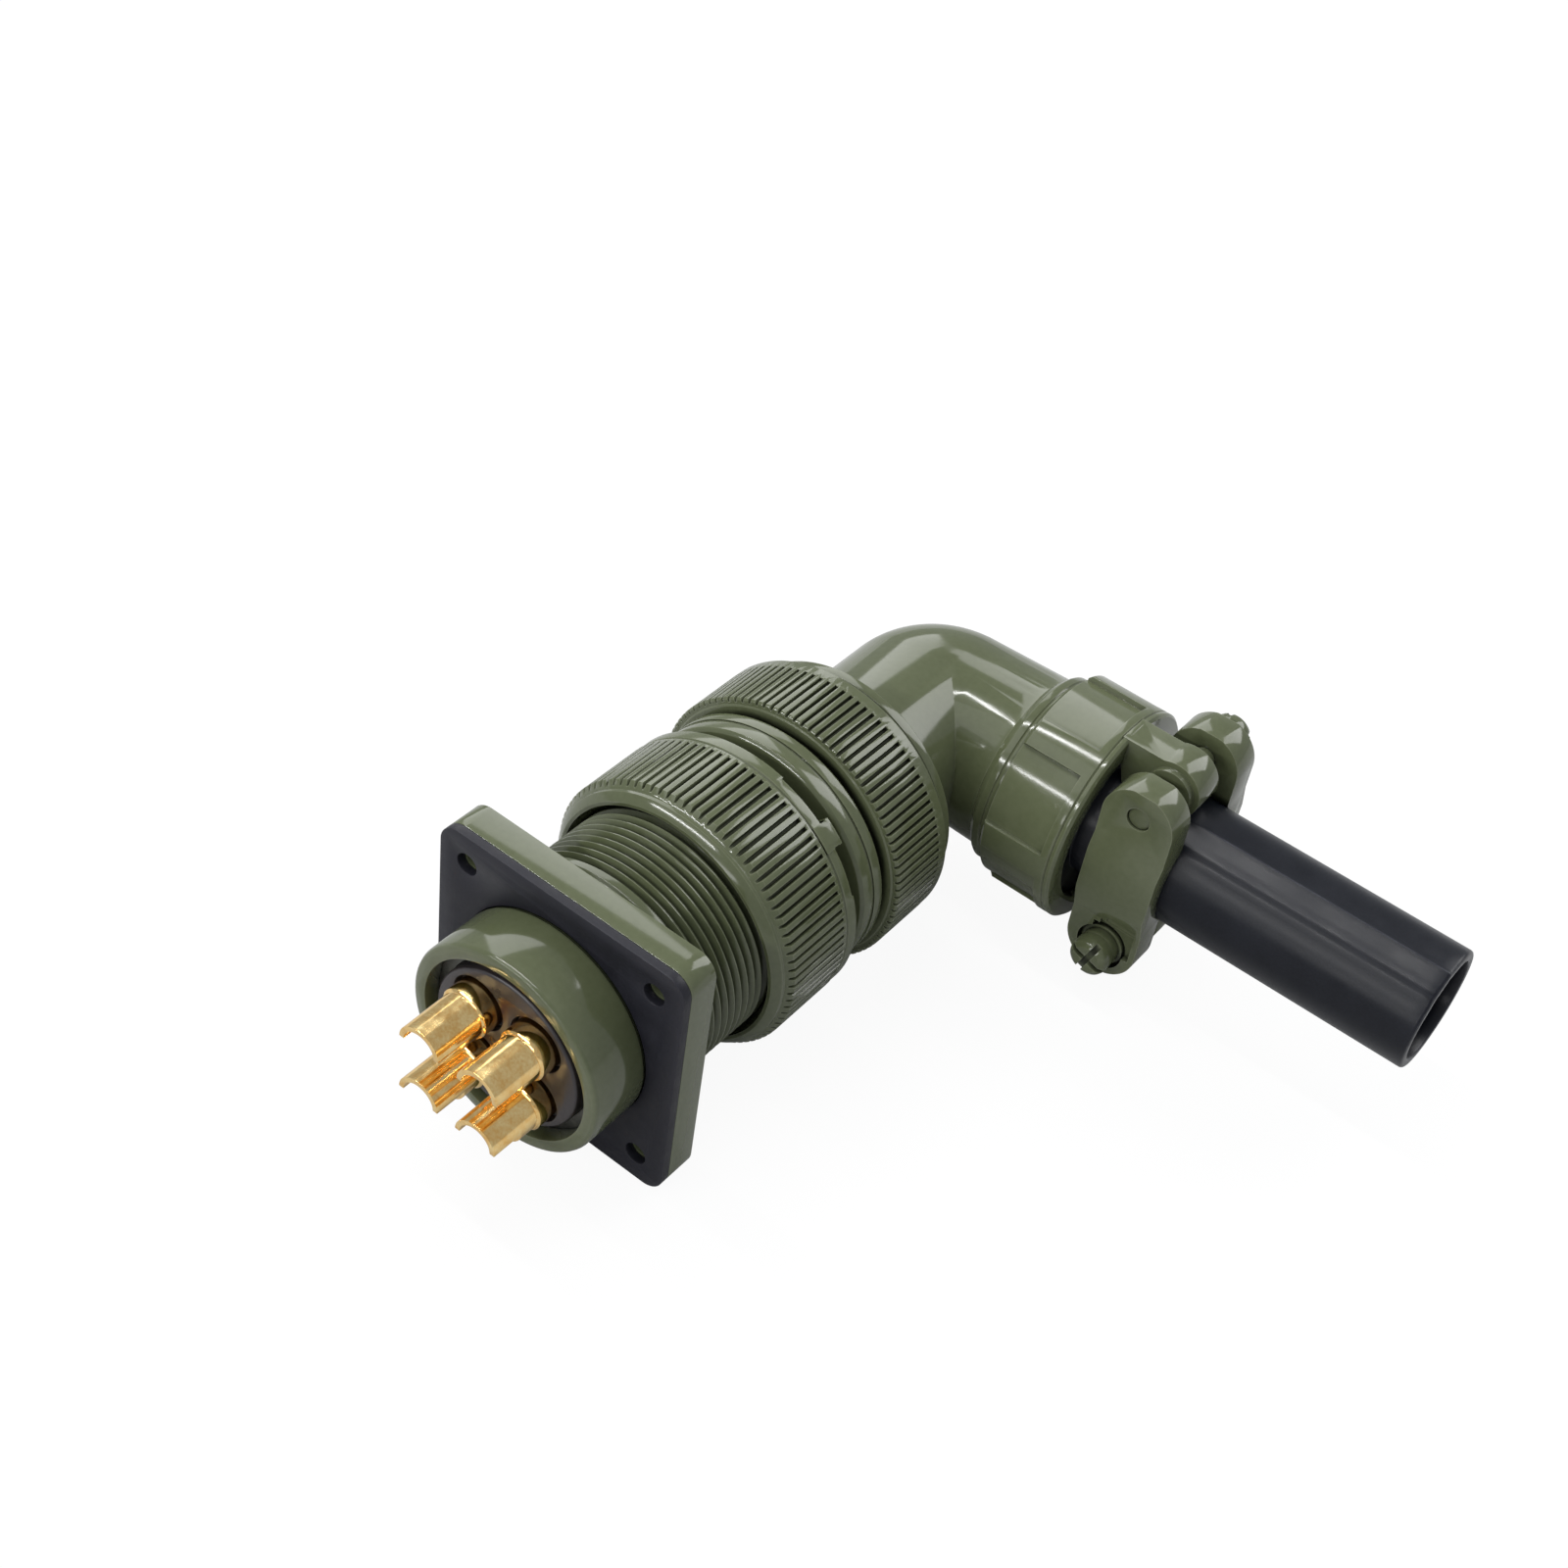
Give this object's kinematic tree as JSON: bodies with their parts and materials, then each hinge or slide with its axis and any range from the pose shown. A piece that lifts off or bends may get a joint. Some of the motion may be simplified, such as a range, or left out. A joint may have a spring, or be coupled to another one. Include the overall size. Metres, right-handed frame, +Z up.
{
  "type": "aviation plug connector",
  "caption": "Square-flange circular power connector joined to a right-angle plug with a threaded coupling nut, saddle cable clamp and rubber bushing.",
  "frame": {"origin": "on the coupling axis at the panel face of the flange gasket", "axes": "+Y along the coupling axis from receptacle to plug; +X along the plug's right-angle outlet; +Z up, square to both"},
  "size_m": [0.109, 0.122, 0.0428],
  "materials": {
    "olive": "glossy olive enamel",
    "rubber": "satin black",
    "insert": "dark moulded insert",
    "gold": "gold plated",
    "ring": "plated spring steel"
  },
  "bodies": {
    "receptacle": {"flange_gasket": "rubber", "receptacle_shell": "olive", "receptacle_insert": "insert", "insert_retaining_ring": "ring", "interface_seal": "rubber", "pin_contact_a": "gold", "pin_contact_b": "gold", "pin_contact_c": "gold", "pin_contact_d": "gold"},
    "plug": {"plug_barrel": "olive", "plug_insert": "insert", "socket_contact_a": "gold", "socket_contact_b": "gold", "socket_contact_c": "gold", "socket_contact_d": "gold", "coupling_nut_retaining_ring": "ring"},
    "coupling_nut_body": {"coupling_nut": "olive"},
    "backshell": {"elbow": "olive", "elbow_retaining_ring": "ring"},
    "backshell_nut_body": {"backshell_nut": "olive"},
    "bushing": {"cable_bushing": "rubber"},
    "clamp": {"clamp_body": "olive"},
    "near_saddle": {"saddle_near": "olive", "lock_washer_lower": "ring", "flat_washer_lower": "ring"},
    "far_saddle": {"saddle_far": "olive", "lock_washer_upper": "ring", "flat_washer_upper": "ring"},
    "lower_screw": {"clamp_screw_lower": "olive"},
    "upper_screw": {"clamp_screw_upper": "olive"}
  },
  "joints": [
    {"name": "plug_slide", "type": "slide", "parent": "receptacle", "child": "plug", "axis": [0, 1, 0], "range_m": [0, 0.00706]},
    {"name": "nut_turn", "type": "hinge", "parent": "plug", "child": "coupling_nut_body", "pos_m": [0, 0.03, 0], "axis": [0, 1, 0], "range_deg": [0, 1800]},
    {"name": "elbow_slide", "type": "slide", "parent": "plug", "child": "backshell", "axis": [0, 1, 0], "range_m": [0, 0.00565]},
    {"name": "backshell_nut_turn", "type": "hinge", "parent": "backshell", "child": "backshell_nut_body", "pos_m": [0, 0.052, 0], "axis": [0, 1, 0], "range_deg": [0, 1440]},
    {"name": "bushing_slide", "type": "slide", "parent": "backshell", "child": "bushing", "axis": [1, 0, 0], "range_m": [0, 0.00847]},
    {"name": "clamp_turn", "type": "hinge", "parent": "bushing", "child": "clamp", "pos_m": [0.03, 0.0853, 0], "axis": [1, 0, 0], "range_deg": [0, 2160]},
    {"name": "near_saddle_slide", "type": "slide", "parent": "clamp", "child": "near_saddle", "axis": [0, -1, 0], "range_m": [0, 0.0015]},
    {"name": "far_saddle_slide", "type": "slide", "parent": "clamp", "child": "far_saddle", "axis": [0, 1, 0], "range_m": [0, 0.0015]},
    {"name": "lower_screw_turn", "type": "hinge", "parent": "near_saddle", "child": "lower_screw", "pos_m": [0.0418, 0.0853, -0.013], "axis": [0, -1, 0], "range_deg": [0, 1800.5]},
    {"name": "upper_screw_turn", "type": "hinge", "parent": "far_saddle", "child": "upper_screw", "pos_m": [0.0418, 0.0853, 0.013], "axis": [0, 1, 0], "range_deg": [0, 1800.5]}
  ],
  "couplings": [
    {"joint": "plug_slide", "follows": "nut_turn", "m_per_rad": 0.00022458},
    {"joint": "elbow_slide", "follows": "backshell_nut_turn", "m_per_rad": 0.00022458},
    {"joint": "bushing_slide", "follows": "clamp_turn", "m_per_rad": 0.00022458},
    {"joint": "far_saddle_slide", "follows": "near_saddle_slide", "ratio": 1},
    {"joint": "lower_screw_turn", "follows": "near_saddle_slide", "rad_per_m": 20944},
    {"joint": "upper_screw_turn", "follows": "near_saddle_slide", "rad_per_m": 20944}
  ]
}
